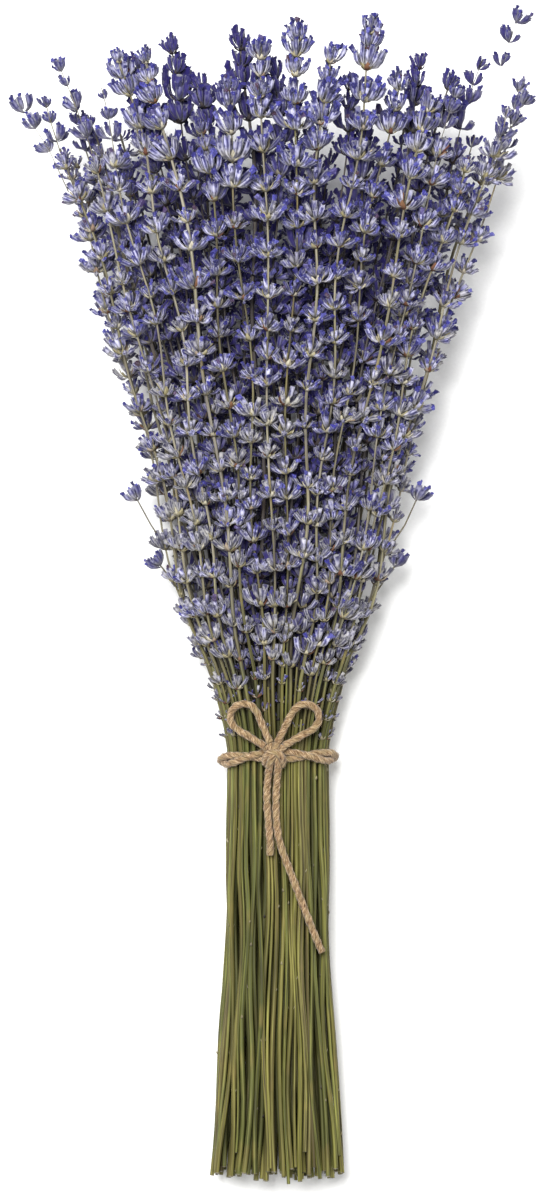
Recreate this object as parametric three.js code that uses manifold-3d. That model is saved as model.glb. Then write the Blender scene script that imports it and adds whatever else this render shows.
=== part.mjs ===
// A bunch of dried lavender, tied with jute twine and laid on a table.
//
// Each sprig is a stem that runs from its cut end, through the tie, to a spike of whorls.
// A whorl is a ring of pointed florets round a small core, and the stem shows between the whorls.
// Sprigs stand in three rings and a middle row at the tie, and fan out from there.
// Each sprig keeps to its own cell of the bunch, so no floret crosses a neighbour.
// Two neighbours that the twine presses into each other are one solid.
//
// Lengths are in millimetres. +Y runs from the cut ends to the flower tips, and +Z is up.
// The bunch is worked out with its tie at y = 0, and is centred over its own box at the end.
import * as THREE from "three";
import { mergeVertices } from "three/addons/utils/BufferGeometryUtils.js";
import Module from "manifold-3d";

// The bunch's section at each station along it: half the width and half the depth of the outer
// ring of stems, the height of the lowest stem, how far the underside lies flat on the table,
// and how far a stem strays from its place.
const STATIONS = [
  { y: -155, width: 25.0, depth: 9.6, lift: 1.9, flat: 0.3, stray: 0.9 },
  { y: -105, width: 20.2, depth: 8.8, lift: 2.4, flat: 0.2, stray: 0.4 },
  { y: 0, width: 17.8, depth: 8.2, lift: 4.4, flat: 0, stray: 0 },
  { y: 26, width: 23.6, depth: 10.6, lift: 4.8, flat: 0.2, stray: 0.2 },
  { y: 60, width: 35.5, depth: 15.5, lift: 5.2, flat: 0.4, stray: 0.5 },
  { y: 110, width: 47.0, depth: 21.5, lift: 5.4, flat: 0.4, stray: 1.0 },
  { y: 180, width: 67.0, depth: 29.0, lift: 5.5, flat: 0.4, stray: 1.6 },
  { y: 262, width: 96.0, depth: 37.0, lift: 5.5, flat: 0.4, stray: 2.4 },
];
const TIE = STATIONS.find((station) => station.y === 0);

const STEM_RADIUS = 1.15; // from the middle of a stem to its corner
const STEM_RADIUS_IN_TIE = 1.65; // pressed until it fills its place
const PRESSED_APART = 1.1; // between the middles of two stems that are pressed into each other
const RING_STEP = 2.5; // from one ring of stems to the next, at the tie
const CLEARANCE = 0.3; // left between two solids
const CUT_ENDS_SPREAD = 5; // the cut ends don't line up
const MIDDLE_ROW = { count: 8, reach: 9.3 };

// The rings of sprigs from the outside in, and the row in the middle. A spike's start is the least
// and the most that it may be. reach is how far the whorls go down from the tip, where they show,
// and lower is how far the ring's highest tip ends below the tallest.
const RINGS = [
  { count: 34, start: [23, 78], reach: 240, lower: 20 },
  { count: 28, start: [34, 84], reach: 70, lower: 26 },
  { count: 22, start: [50, 90], reach: 30, lower: 34 },
  { start: [60, 100], reach: 30, lower: 34 },
];
const SIDES = 3; // of a stem and a whorl
const WHORL_STEP = 20; // from one whorl to the next
const SIDES_ON_TOP = 4; // of those that are seen from above
const WHORL_STEP_ON_TOP = 14;
const TALLEST = 265; // no tip is further from the tie
const TIPS_SPREAD = 50; // from a ring's highest tip to its lowest

// The tips that draw the top of the fan, as x and how far from the tie. Each is given to the
// nearest sprig of the two outer rings' upper halves.
const TOP_TIPS = [
  [-84, 222], [-82, 251], [-66, 241], [-52, 251], [-36, 257], [-26, 244], [-13, 258], [-4, 253],
  [8, 259], [27, 244], [35, 262], [50, 252], [65, 241], [77, 253], [90, 246],
];
const UPPER_HALF = -0.1; // the lowest that a stem of the upper half is from the middle of the tie

// A whorl: its florets' length along the stem and out from it, and the core that they stand on
const FLORET_RISE = 8.8;
const FLORET_REACH = 6.0;
const CORE_RISE = 4.2;
const CORE_RADIUS = 3.3;
const CORE_SHARE = 0.66; // of the reach of the florets round it, where a cell is narrow
const WAIST_RADIUS = 1.0; // of the stem where a whorl grows from it
const REACH_LOST_TO_TIP = 0.25; // whorls get smaller towards the tip
const TIP_LENGTH = 8;
const CLOSER_TO_TIP = 0.2; // how much the whorls' steps change along a spike

// How strongly a sprig in flower and a bare stem hold their places against their neighbours
const HOLD_IN_FLOWER = 4.5;
const HOLD_OF_STEM = 1.6;
const HOLD_CHANGES_OVER = 14;
const NEIGHBOURS_WITHIN = 36;

// What is drawn at random for each sprig. The two strays take a number for each station.
const DRAWS = { strayAcross: 0, strayUp: 20, tip: 383, cut: 42, turn: 43 };
const GOLDEN = 0.618034;

const TWINE_RADIUS = 1.35;
const TWINE_STEP = 6.5; // from one ring of points to the next on the free twine
const TWINE_SIDES = 8;
const WRAP_SIDES = 6;
const WRAP_STEPS = 36; // round the bunch
const TURN_SPACING = 2.9; // between the two turns of twine round the bunch
const KNOT = { x: -1.4, y: 0.4, width: 4.0, length: 4.2, height: 2.9 };

// The free twine, as x, y and how far off the stems its middle lies
const LEFT_LOOP = [
  [-4.7, 3.9, 3.4], [-7.3, 5.4, 2.6], [-9.8, 7.0, 1.9], [-12.4, 8.5, 1.65], [-14.9, 10.0, 1.65],
  [-16.9, 12.3, 1.65], [-17.2, 15.4, 1.65], [-15.6, 18.1, 1.65], [-12.7, 19.3, 1.65], [-9.7, 18.6, 1.65],
  [-7.7, 16.3, 1.65], [-6.5, 13.5, 1.65], [-5.3, 10.8, 1.9], [-4.1, 8.0, 2.7], [-2.9, 5.2, 3.5],
];
const RIGHT_LOOP = [
  [-0.3, 5.2, 3.5], [1.1, 7.9, 2.7], [2.4, 10.6, 1.9], [3.8, 13.4, 1.65], [5.4, 16.4, 1.65],
  [7.6, 18.6, 1.65], [10.6, 19.2, 1.65], [13.4, 17.8, 1.65], [14.8, 15.1, 1.65], [14.4, 12.1, 1.65],
  [12.4, 9.8, 1.65], [9.7, 8.4, 1.65], [7.1, 6.9, 1.9], [4.5, 5.4, 2.6], [2.2, 4.1, 3.4],
];
const LONG_TAIL = [
  [0.0, -4.0, 2.9], [-0.2, -7.0, 1.9], [-0.5, -11.0, 1.65], [-0.7, -15.2, 1.65], [-0.7, -19.4, 1.65],
  [-0.5, -23.6, 1.65], [0.0, -28.0, 1.65], [1.1, -32.6, 1.65], [2.7, -37.2, 1.65], [4.5, -41.8, 1.65],
  [6.3, -46.6, 1.65], [8.1, -51.4, 1.65], [10.0, -56.2, 1.65], [11.9, -61.2, 1.65], [13.9, -66.2, 1.65],
  [16.0, -71.2, 1.65],
];
const SHORT_TAIL = [
  [-3.2, -4.0, 2.9], [-3.4, -6.2, 1.9], [-3.7, -8.6, 1.65], [-3.9, -11.0, 1.65], [-4.0, -13.4, 1.65],
  [-4.0, -15.8, 1.65], [-3.9, -18.2, 1.65], [-3.7, -20.6, 1.65], [-3.5, -23.0, 1.65], [-3.3, -25.4, 1.65],
  [-3.1, -27.8, 1.65], [-2.9, -30.0, 1.65], [-2.8, -32.0, 1.65], [-2.8, -34.0, 1.65], [-2.8, -35.8, 1.65],
];

const dried = (color, roughness) => new THREE.MeshStandardMaterial({ color, roughness, metalness: 0 });
const LAVENDER = dried(0x66659a, 0.85);
const JUTE = dried(0xb29871, 0.95);
const SAME_POINT = 1e-4;

const wasm = await Module();
wasm.setup();

// A number from 0 to 1 that is always the same for the same two numbers.
function draw(a, b) {
  const large = Math.sin(a * 12.9898 + b * 78.233) * 43758.5453;
  return large - Math.floor(large);
}

const between = (low, high, share) => low + (high - low) * share;

// The stations on either side of y, and how far y is from the first to the second.
function span(y) {
  let k = 1;
  while (k < STATIONS.length - 1 && STATIONS[k].y < y) k += 1;
  return { k, share: (y - STATIONS[k - 1].y) / (STATIONS[k].y - STATIONS[k - 1].y) };
}

const stemRadiusAt = (station) => (station === TIE ? STEM_RADIUS_IN_TIE : STEM_RADIUS);

function sectionAt(y) {
  const { k, share } = span(y);
  const [low, high] = [STATIONS[k - 1], STATIONS[k]];
  return {
    width: between(low.width, high.width, share),
    depth: between(low.depth, high.depth, share),
    lift: between(low.lift, high.lift, share),
    stem: between(stemRadiusAt(low), stemRadiusAt(high), share),
  };
}

// Where a place in the bunch's section lies: across and up are from -1 to 1 on the outer ring.
// Below the middle, the sides are pushed down towards the table.
function place(section, across, up) {
  const lowered = up < 0 ? up * (1 + section.flat * across * across) : up;
  return [across * section.width, section.lift + section.depth * (1 + lowered)];
}

// Every sprig's place at the tie, with neighbours in one ring as pairs.
function placesAtTie() {
  const places = [];
  RINGS.forEach((ring, level) => {
    if (!ring.count) return;
    const width = TIE.width - level * RING_STEP;
    const depth = TIE.depth - level * RING_STEP;
    const points = new THREE.EllipseCurve(0, 0, width, depth).getSpacedPoints(ring.count);
    points.slice(0, ring.count).forEach((point) => places.push({ level, x: point.x, z: point.y }));
  });
  for (let k = 0; k < MIDDLE_ROW.count; k += 1) {
    const x = between(-MIDDLE_ROW.reach, MIDDLE_ROW.reach, k / (MIDDLE_ROW.count - 1));
    places.push({ level: RINGS.length - 1, x, z: 0 });
  }
  return places;
}

// A sprig's path, as its middle at each station.
function pathOf(index, spot, partner) {
  return STATIONS.map((station, k) => {
    let { x, z } = spot;
    if (station === TIE) {
      const middle = { x: (x + partner.x) / 2, z: (z + partner.z) / 2 };
      const apart = Math.hypot(x - partner.x, z - partner.z);
      x = middle.x + ((x - middle.x) * PRESSED_APART) / apart;
      z = middle.z + ((z - middle.z) * PRESSED_APART) / apart;
    }
    const [across, height] = place(station, x / TIE.width, z / TIE.depth);
    return [
      across + station.stray * (2 * draw(index, DRAWS.strayAcross + k) - 1),
      height + station.stray * (2 * draw(index, DRAWS.strayUp + k) - 1),
    ];
  });
}

// Where a sprig's spike starts and ends. Golden steps keep neighbours from being alike.
function spikeOf(index, level) {
  const start = between(...RINGS[level].start, (index * GOLDEN) % 1);
  return { start, end: TALLEST - RINGS[level].lower - TIPS_SPREAD * draw(index, DRAWS.tip) };
}

// Moves the tips that draw the top of the fan to where they belong.
function shapeTop(sprigs) {
  const free = sprigs.filter((sprig) => sprig.spot.level < 2 && sprig.spot.z > UPPER_HALF);
  TOP_TIPS.forEach(([x, end]) => {
    const off = (sprig) => Math.abs(middleOf(sprig, end)[0] - x);
    const nearest = free.reduce((best, sprig) => (off(sprig) < off(best) ? sprig : best));
    nearest.end = end;
    free.splice(free.indexOf(nearest), 1);
  });
}

// Where whorls stand on a spike, from the lowest up. They are closer together towards its tip.
function basesOf(start, top, step) {
  const whorls = Math.round((top - start) / step) + 1;
  return Array.from({ length: whorls }, (_, k) => {
    const down = 1 - k / (whorls - 1);
    return top - (top - start) * between(down, down * down, CLOSER_TO_TIP);
  });
}

function makeSprigs() {
  const places = placesAtTie();
  const sprigs = places.map((spot, index) => ({
    index,
    spot,
    pair: Math.floor(index / 2),
    path: pathOf(index, spot, places[index % 2 ? index - 1 : index + 1]),
    cut: STATIONS[0].y + CUT_ENDS_SPREAD * draw(index, DRAWS.cut),
    ...spikeOf(index, spot.level),
  }));
  shapeTop(sprigs);
  sprigs.forEach((sprig) => {
    const onTop = sprig.spot.level === 0 && sprig.spot.z > 0;
    const lowest = Math.max(sprig.start, sprig.end - RINGS[sprig.spot.level].reach);
    sprig.sides = onTop ? SIDES_ON_TOP : SIDES;
    sprig.bases = basesOf(lowest, sprig.end - TIP_LENGTH, onTop ? WHORL_STEP_ON_TOP : WHORL_STEP);
  });
  return sprigs;
}

function middleOf(sprig, y) {
  const { k, share } = span(y);
  const low = sprig.path[k - 1];
  const high = sprig.path[k];
  return [between(low[0], high[0], share), between(low[1], high[1], share)];
}

function holdOf(sprig, y) {
  const near = THREE.MathUtils.clamp((y - sprig.bases[0]) / HOLD_CHANGES_OVER + 1, 0, 1);
  return between(HOLD_OF_STEM, HOLD_IN_FLOWER, near);
}

// How far a sprig may reach from its middle at y, in a direction, before it leaves its cell.
function reachOf(sprig, sprigs, y, angle, wanted, withPartner) {
  const [x, z] = middleOf(sprig, y);
  const [cos, sin] = [Math.cos(angle), Math.sin(angle)];
  let limit = sin < 0 ? Math.min(wanted, z / -sin) : wanted;
  for (const other of sprigs) {
    const left = other === sprig || y > other.end + FLORET_RISE;
    if (left || (other.pair === sprig.pair && !withPartner)) continue;
    const [otherX, otherZ] = middleOf(other, y);
    const towards = (otherX - x) * cos + (otherZ - z) * sin;
    const apart = Math.hypot(otherX - x, otherZ - z);
    if (towards <= 0 || apart > NEIGHBOURS_WITHIN) continue;
    const share = holdOf(sprig, y) / (holdOf(sprig, y) + holdOf(other, y));
    limit = Math.min(limit, ((share * apart - CLEARANCE / 2) * apart) / towards);
  }
  return limit;
}

// A sprig's surface: rings of points from the cut end up, with a floret on each face of a whorl.
function sprigGeometry(sprig, sprigs) {
  const points = [];
  const faces = [];
  const { sides } = sprig;
  const addPoint = (x, y, z) => points.push(x, y, z) / 3 - 1;
  const pointAt = (y, angle, radius) => {
    const [x, z] = middleOf(sprig, y);
    return addPoint(x + radius * Math.cos(angle), y, z + radius * Math.sin(angle));
  };
  const angleOf = (turn, side) => turn + (2 * Math.PI * side) / sides;
  const ring = (y, turn, wanted, withPartner) =>
    Array.from({ length: sides }, (_, side) => {
      const angle = angleOf(turn, side);
      return pointAt(y, angle, reachOf(sprig, sprigs, y, angle, wanted, withPartner));
    });
  const band = (low, high) => {
    for (let side = 0; side < sides; side += 1) {
      const next = (side + 1) % sides;
      faces.push(low[side], high[side], low[next], low[next], high[side], high[next]);
    }
  };
  const floret = (corners, tip) =>
    corners.forEach((corner, k) => faces.push(corner, corners[(k + 1) % corners.length], tip));

  let turn = 2 * Math.PI * draw(sprig.index, DRAWS.turn);
  let low = ring(sprig.cut, turn, STEM_RADIUS, false);
  for (let side = 1; side < sides - 1; side += 1) faces.push(low[0], low[side], low[side + 1]);
  STATIONS.slice(1).forEach((station) => {
    if (station.y > sprig.bases[0] - CORE_RISE) return;
    const high = ring(station.y, turn, stemRadiusAt(station), false);
    band(low, high);
    low = high;
  });

  sprig.bases.forEach((base, k) => {
    const upwards = k / (sprig.bases.length - 1);
    const wanted = FLORET_REACH * (1 - REACH_LOST_TO_TIP * upwards * upwards);
    turn += k ? Math.PI / sides : 0;
    const waist = ring(base, turn, WAIST_RADIUS, true);
    band(low, waist);
    const reaches = Array.from({ length: sides }, (_, side) =>
      reachOf(sprig, sprigs, base + FLORET_RISE, angleOf(turn, side + 0.5), wanted, true),
    );
    const core = Math.max(STEM_RADIUS, Math.min(CORE_RADIUS, CORE_SHARE * Math.min(...reaches)));
    const shoulder = ring(base + CORE_RISE, turn, core, true);
    reaches.forEach((reach, side) => {
      const next = (side + 1) % sides;
      const tip = pointAt(base + FLORET_RISE, angleOf(turn, side + 0.5), reach);
      floret([waist[side], shoulder[side], shoulder[next], waist[next]], tip);
    });
    low = shoulder;
  });
  const [x, z] = middleOf(sprig, sprig.end);
  const tip = addPoint(x, sprig.end, z);
  low.forEach((corner, side) => faces.push(corner, tip, low[(side + 1) % sides]));
  return geometryOf(points, faces);
}

function geometryOf(points, faces) {
  const geometry = new THREE.BufferGeometry();
  geometry.setAttribute("position", new THREE.Float32BufferAttribute(points, 3));
  geometry.setIndex(faces);
  return geometry;
}

// A ring of twine round the bunch. A flat stretch at its bottom lies on the table.
function turnGeometry(y) {
  const [around, sides] = [WRAP_STEPS, WRAP_SIDES];
  const section = sectionAt(Math.max(0, y + TWINE_RADIUS));
  const middle = section.lift + section.depth;
  const toFlat = Math.cos(Math.PI / around);
  const width = (section.width + section.stem + CLEARANCE + TWINE_RADIUS) / toFlat;
  const depth = (middle - TWINE_RADIUS * Math.cos(Math.PI / sides)) / toFlat;
  const points = [];
  const faces = [];
  for (let k = 0; k < around; k += 1) {
    const angle = (2 * Math.PI * (k + 0.5)) / around;
    const outwards = new THREE.Vector2(Math.cos(angle) / width, Math.sin(angle) / depth).normalize();
    for (let side = 0; side < sides; side += 1) {
      const turn = (2 * Math.PI * (side + 0.5)) / sides;
      const radial = TWINE_RADIUS * Math.cos(turn);
      points.push(
        width * Math.cos(angle) + radial * outwards.x,
        y + TWINE_RADIUS * Math.sin(turn),
        middle + depth * Math.sin(angle) + radial * outwards.y,
      );
      const [a, b] = [k * sides + side, k * sides + ((side + 1) % sides)];
      const ahead = ((k + 1) % around) * sides;
      const [c, d] = [ahead + side, ahead + ((side + 1) % sides)];
      faces.push(a, b, c, c, b, d);
    }
  }
  return geometryOf(points, faces);
}

// The height over a point of the table of what lies that far off the top of the stems.
function heightOver(x, y, off) {
  const section = sectionAt(y);
  const across = x / section.width;
  const up = Math.sqrt(1 - across * across);
  const steepness = Math.hypot(1, (section.depth * across) / (section.width * up));
  return section.lift + section.depth * (1 + up) + (section.stem + off) * steepness;
}

// A plain tube of twine that lies over the stems.
function twineGeometry(route) {
  const points = route.map(([x, y, off]) => new THREE.Vector3(x, y, heightOver(x, y, off)));
  const corners = Array.from({ length: TWINE_SIDES }, (_, side) => {
    const turn = (2 * Math.PI * side) / TWINE_SIDES;
    return new THREE.Vector2(TWINE_RADIUS * Math.cos(turn), TWINE_RADIUS * Math.sin(turn));
  });
  const section = new THREE.Shape(corners);
  const extrudePath = new THREE.CatmullRomCurve3(points);
  const steps = Math.round(extrudePath.getLength() / TWINE_STEP);
  return new THREE.ExtrudeGeometry(section, { steps, extrudePath, bevelEnabled: false });
}

function solidOf(geometry) {
  const bare = geometry.clone();
  bare.deleteAttribute("normal");
  bare.deleteAttribute("uv");
  const merged = mergeVertices(bare, SAME_POINT);
  return new wasm.Manifold(
    new wasm.Mesh({
      numProp: 3,
      vertProperties: merged.attributes.position.array,
      triVerts: new Uint32Array(merged.index.array),
    }),
  );
}

function meshOf(name, solid, material) {
  const { vertProperties, triVerts } = solid.getMesh();
  const mesh = new THREE.Mesh(geometryOf([...vertProperties], [...triVerts]), material);
  mesh.name = name;
  return mesh;
}

const bunch = new THREE.Group();
const sprigs = makeSprigs();
for (let index = 0; index < sprigs.length; index += 2) {
  const [first, second] = [sprigs[index], sprigs[index + 1]];
  const joined = solidOf(sprigGeometry(first, sprigs)).add(solidOf(sprigGeometry(second, sprigs)));
  bunch.add(meshOf(`sprigs_${String(first.pair + 1).padStart(2, "0")}`, joined, LAVENDER));
}

const knot = new THREE.SphereGeometry(1, 10, 8)
  .scale(KNOT.width, KNOT.length, KNOT.height)
  .translate(KNOT.x, KNOT.y, heightOver(KNOT.x, 0, CLEARANCE + KNOT.height));
const wrap = solidOf(turnGeometry(-TURN_SPACING / 2))
  .add(solidOf(turnGeometry(TURN_SPACING / 2)))
  .add(solidOf(knot));
bunch.add(meshOf("twine_wrap", wrap, JUTE));

const freeTwine = {
  twine_loop_left: LEFT_LOOP,
  twine_loop_right: RIGHT_LOOP,
  twine_tail_long: LONG_TAIL,
  twine_tail_short: SHORT_TAIL,
};
const box = new THREE.Box3().setFromObject(bunch);
for (const [name, route] of Object.entries(freeTwine)) {
  bunch.add(meshOf(name, solidOf(twineGeometry(route)), JUTE));
}

// The origin is under the middle of the box of all but the free twine, on the table.
bunch.position.set(-(box.min.x + box.max.x) / 2, -(box.min.y + box.max.y) / 2, -box.min.z);

export default bunch;
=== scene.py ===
# %% [markdown]
# # A bunch of dried lavender, tied with jute twine
# The bunch lies on a table with its flower tips at +Y, and the camera looks straight down on it.
# About ninety sprigs were picked, dried, tied with one length of twine and finished with a bow.
# The solids of the bunch are loaded as a fixed frame. Each of them is replaced here by a finer
# piece in the same place, so nothing has to be fitted afterwards.

# %% Load the frame
import math
from collections import namedtuple

import bmesh
import bpy
import numpy as np
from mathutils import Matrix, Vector


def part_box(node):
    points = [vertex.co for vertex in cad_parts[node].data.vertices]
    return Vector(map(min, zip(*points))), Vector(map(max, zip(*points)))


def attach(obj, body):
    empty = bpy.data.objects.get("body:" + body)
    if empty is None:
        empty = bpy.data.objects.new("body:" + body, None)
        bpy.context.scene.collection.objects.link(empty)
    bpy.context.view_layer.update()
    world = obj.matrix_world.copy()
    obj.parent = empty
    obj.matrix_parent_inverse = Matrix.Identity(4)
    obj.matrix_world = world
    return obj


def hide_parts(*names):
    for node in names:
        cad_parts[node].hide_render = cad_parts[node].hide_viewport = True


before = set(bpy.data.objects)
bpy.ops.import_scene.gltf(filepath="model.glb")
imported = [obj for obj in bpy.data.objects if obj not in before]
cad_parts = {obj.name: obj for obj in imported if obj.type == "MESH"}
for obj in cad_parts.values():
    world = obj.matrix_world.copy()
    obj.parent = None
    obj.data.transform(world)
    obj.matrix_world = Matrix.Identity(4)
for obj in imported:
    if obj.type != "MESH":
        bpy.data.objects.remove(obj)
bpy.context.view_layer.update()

# %% [markdown]
# ## The camera and the light
# The photograph looks square on at the bunch from far away, so the camera hangs straight above it
# with a long lens. A perspective lens could stand closer, but then the flowers near it would look
# larger than in the photograph. The light is that of a studio: one large soft lamp beside the
# camera, a weaker one across from it, and a pale sky, so that the gaps between the flowers stay
# dark while nothing throws a hard shadow.

# %% Hang the camera
MM = 0.001
PIXEL = 0.36 * MM  # what one pixel of the photograph spans at the height of the flowers
PICTURE = (544, 1200)
TIE_IN_PICTURE = (278, 758)  # the pixel where the middle of the tie is
KNOT_AHEAD_OF_TIE = 0.4  # in millimetres, how far the knot moves the middle of the wrap's box
SEEN_HEIGHT = 35 * MM
LENS = 120.0
SENSOR = 36.0

wrap_low, wrap_high = (np.array(corner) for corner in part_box("twine_wrap"))
tie = (wrap_low + wrap_high) / 2 - [0, KNOT_AHEAD_OF_TIE * MM, 0]
tie[2] = 0
camera_data = bpy.data.cameras.new("camera")
camera_data.lens = LENS
camera_data.sensor_width = SENSOR
camera = bpy.data.objects.new("camera", camera_data)
bpy.context.scene.collection.objects.link(camera)
camera.location = (
    tie[0] + (PICTURE[0] / 2 - TIE_IN_PICTURE[0]) * PIXEL,
    tie[1] + (TIE_IN_PICTURE[1] - PICTURE[1] / 2) * PIXEL,
    SEEN_HEIGHT + PICTURE[1] * PIXEL * LENS / SENSOR,
)
bpy.context.scene.camera = camera
print("camera at", [round(place, 4) for place in camera.location])


# %% Set the lamps, the sky and the table
def lamp(name, place, size, watts):
    """A square soft lamp that shines on the middle of the bunch."""
    data = bpy.data.lights.new(name, type="AREA")
    data.size = size
    data.energy = watts
    made = bpy.data.objects.new(name, data)
    bpy.context.scene.collection.objects.link(made)
    made.location = place
    made.rotation_euler = (-Vector(place)).to_track_quat("-Z", "Y").to_euler()


lamp("key lamp", (-0.34, 0.5, 1.5), 0.75, 42)
lamp("fill lamp", (0.8, -0.3, 1.4), 0.6, 7)
sky = bpy.data.worlds.new("sky")
sky.use_nodes = True
background = sky.node_tree.nodes["Background"]
background.inputs["Color"].default_value = (1, 1, 1, 1)
background.inputs["Strength"].default_value = 0.3
bpy.context.scene.world = sky
bpy.context.scene.view_settings.view_transform = "Standard"

bpy.ops.object.select_all(action="DESELECT")
bpy.ops.mesh.primitive_plane_add(size=6)
table = bpy.context.object
table.name = "table"


# %% [markdown]
# ## Materials
# Nothing here is painted from a picture. Each finish is worked out by nodes from values that the
# pieces carry: `tip` runs from 0 at the foot of a floret to 1 at its mouth, `rib` is 1 on a ridge
# and 0 in a groove, `tone` is drawn once for each floret or stem, and `own` is a place measured
# on the floret or stem itself, so that a grain follows it wherever it leans. A pattern on the
# object's coordinates is simpler, but it runs straight through neighbours, so only the pale and
# the dark patches on the calyces, a painted highlight and a painted shade, are made that way.

# %% Node helpers
def screen(red, green, blue):
    """A colour as it looks on a screen, 0 to 255 a channel, as the numbers that nodes count in."""
    shares = [channel / 255 for channel in (red, green, blue)]
    light = [((share + 0.055) / 1.055) ** 2.4 if share > 0.04 else share / 12.92 for share in shares]
    return light + [1]


class Recipe:
    """A material, and the nodes that are added to it one after another."""

    def __init__(self, name, roughness, sheen=0.0):
        self.material = bpy.data.materials.new(name)
        self.material.use_nodes = True
        self.tree = self.material.node_tree
        self.shader = self.tree.nodes["Principled BSDF"]
        self.shader.inputs["Roughness"].default_value = roughness
        self.shader.inputs["Specular IOR Level"].default_value = 0.3
        self.shader.inputs["Sheen Weight"].default_value = sheen
        self.shader.inputs["Sheen Roughness"].default_value = 0.5

    def node(self, kind, settings=(), **inputs):
        """Adds a node. A socket goes by its name, or by its number as _0, _1 and so on."""
        made = self.tree.nodes.new(kind)
        for name, value in dict(settings).items():
            setattr(made, name, value)
        for name, value in inputs.items():
            socket = made.inputs[int(name[1:]) if name[1:].isdigit() else name]
            if isinstance(value, bpy.types.NodeSocket):
                self.tree.links.new(value, socket)
            else:
                socket.default_value = value
        return made

    def place(self):
        return self.node("ShaderNodeTexCoord").outputs["Object"]

    def carried(self, name):
        made = self.node("ShaderNodeAttribute", {"attribute_name": name})
        return made.outputs["Vector" if name == "own" else "Fac"]

    def ramp(self, share, *stops):
        made = self.node("ShaderNodeValToRGB", Fac=share)
        line = made.color_ramp
        while len(line.elements) < len(stops):
            line.elements.new(0.5)
        for element, (place, colour) in zip(line.elements, stops):
            element.position = place
            element.color = screen(*colour)
        return made.outputs["Color"]

    def noise(self, place, scale, detail=2.0, stretch=(1, 1, 1)):
        fitted = self.node("ShaderNodeMapping", _0=place, Scale=stretch).outputs[0]
        return self.node("ShaderNodeTexNoise", _0=fitted, Scale=scale, Detail=detail).outputs["Fac"]

    def sharpen(self, value, low, high):
        """0 where the value is low and 1 where it is high."""
        return self.node("ShaderNodeMapRange", _0=value, _1=low, _2=high).outputs[0]

    def times(self, first, second):
        return self.node("ShaderNodeMath", {"operation": "MULTIPLY"}, _0=first, _1=second).outputs[0]

    def mix(self, share, first, second, blend="MIX"):
        first, second = (screen(*one) if isinstance(one, tuple) else one for one in (first, second))
        settings = {"data_type": "RGBA", "blend_type": blend}
        return self.node("ShaderNodeMix", settings, _0=share, _6=first, _7=second).outputs[2]

    def tint(self, colour, where, much, other, blend="MIX"):
        """A colour that takes on that much of another one where `where` is 1."""
        return self.mix(where, colour, self.mix(much, colour, other, blend))

    def shade(self, colour, inside, most):
        """Paints shade into a colour towards the middle of the bunch, where little light gets in."""
        return self.mix(self.times(self.carried("inside"), most), colour, inside)

    def finish(self, colour, height, deep):
        bump = self.node("ShaderNodeBump", Height=height, Strength=0.6, Distance=deep * MM)
        self.tree.links.new(bump.outputs["Normal"], self.shader.inputs["Normal"])
        self.tree.links.new(colour, self.shader.inputs["Base Color"])
        return self.material


# %% The table and the twine
def table_finish():
    made = Recipe("table paint", 0.85)
    grain = made.noise(made.place(), 900.0)
    colour = made.ramp(grain, (0.3, (251, 251, 250)), (0.7, (255, 255, 254)))
    return made.finish(colour, grain, 0.01)


def jute_finish():
    made = Recipe("jute", 0.95, sheen=0.25)
    own = made.carried("own")
    fibres = made.noise(own, 2.6, 4.0, stretch=(1.6, 1.6, 0.3))
    colour = made.ramp(
        fibres,
        (0.38, (80, 54, 34)), (0.46, (128, 100, 70)), (0.56, (165, 137, 103)),
        (0.66, (204, 183, 151)),
    )
    clouds = made.noise(own, 0.28, 1.0)
    colour = made.tint(colour, made.sharpen(clouds, 0.4, 0.75), 0.5, (136, 122, 84))
    # Painted shade in the grooves between the plies.
    groove = made.sharpen(made.carried("rib"), 0.55, 0.0)
    colour = made.tint(colour, groove, 0.6, (110, 78, 46), "MULTIPLY")
    return made.finish(colour, fibres, 0.25)


table.data.materials.append(table_finish())
JUTE = jute_finish()


# %% [markdown]
# ## The twine
# The tie is one length of jute, 2.7 mm thick. Real jute twine is three plies that are laid round
# each other, with loose fibres that stick out. It could be a curve with a round bevel, but that
# is a wire and not twine. So a section with three rounded plies is swept along the route and
# turned as it goes, and fine fibres are rooted in its surface. The routes are those of the
# frame's solids: x, y and how far the twine's middle lies off the stems.

# %% The form of the bunch, which the twine and the stems both follow
Station = namedtuple("Station", "y width depth lift flat stray")
STATIONS = [
    Station(-155, 25.0, 9.6, 1.9, 0.3, 0.9),
    Station(-105, 20.2, 8.8, 2.4, 0.2, 0.4),
    Station(0, 17.8, 8.2, 4.4, 0.0, 0.0),
    Station(26, 23.6, 10.6, 4.8, 0.2, 0.2),
    Station(60, 35.5, 15.5, 5.2, 0.4, 0.5),
    Station(110, 47.0, 21.5, 5.4, 0.4, 1.0),
    Station(180, 67.0, 29.0, 5.5, 0.4, 1.6),
    Station(262, 96.0, 37.0, 5.5, 0.4, 2.4),
]
STATION_Y = np.array([station.y for station in STATIONS], float)
TIE = STATIONS[2]
STEM_IN_TIE = 1.65  # the radius of the frame's stems at the tie and elsewhere
STEM_ELSEWHERE = 1.15
SECTIONS = [
    (*station[1:4], STEM_IN_TIE if station is TIE else STEM_ELSEWHERE) for station in STATIONS
]


def section_at(y):
    """Half the width and depth of the ring of stems, its lowest height and a stem's radius."""
    return [np.interp(y, STATION_Y, column) for column in zip(*SECTIONS)]


def height_over(x, y, off):
    """The height above the table of what lies that far off the top of the stems."""
    width, depth, lift, stem = section_at(y)
    across = x / width
    up = math.sqrt(1 - across * across)
    steepness = math.hypot(1, depth * across / (width * up))
    return lift + depth * (1 + up) + (stem + off) * steepness


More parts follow.
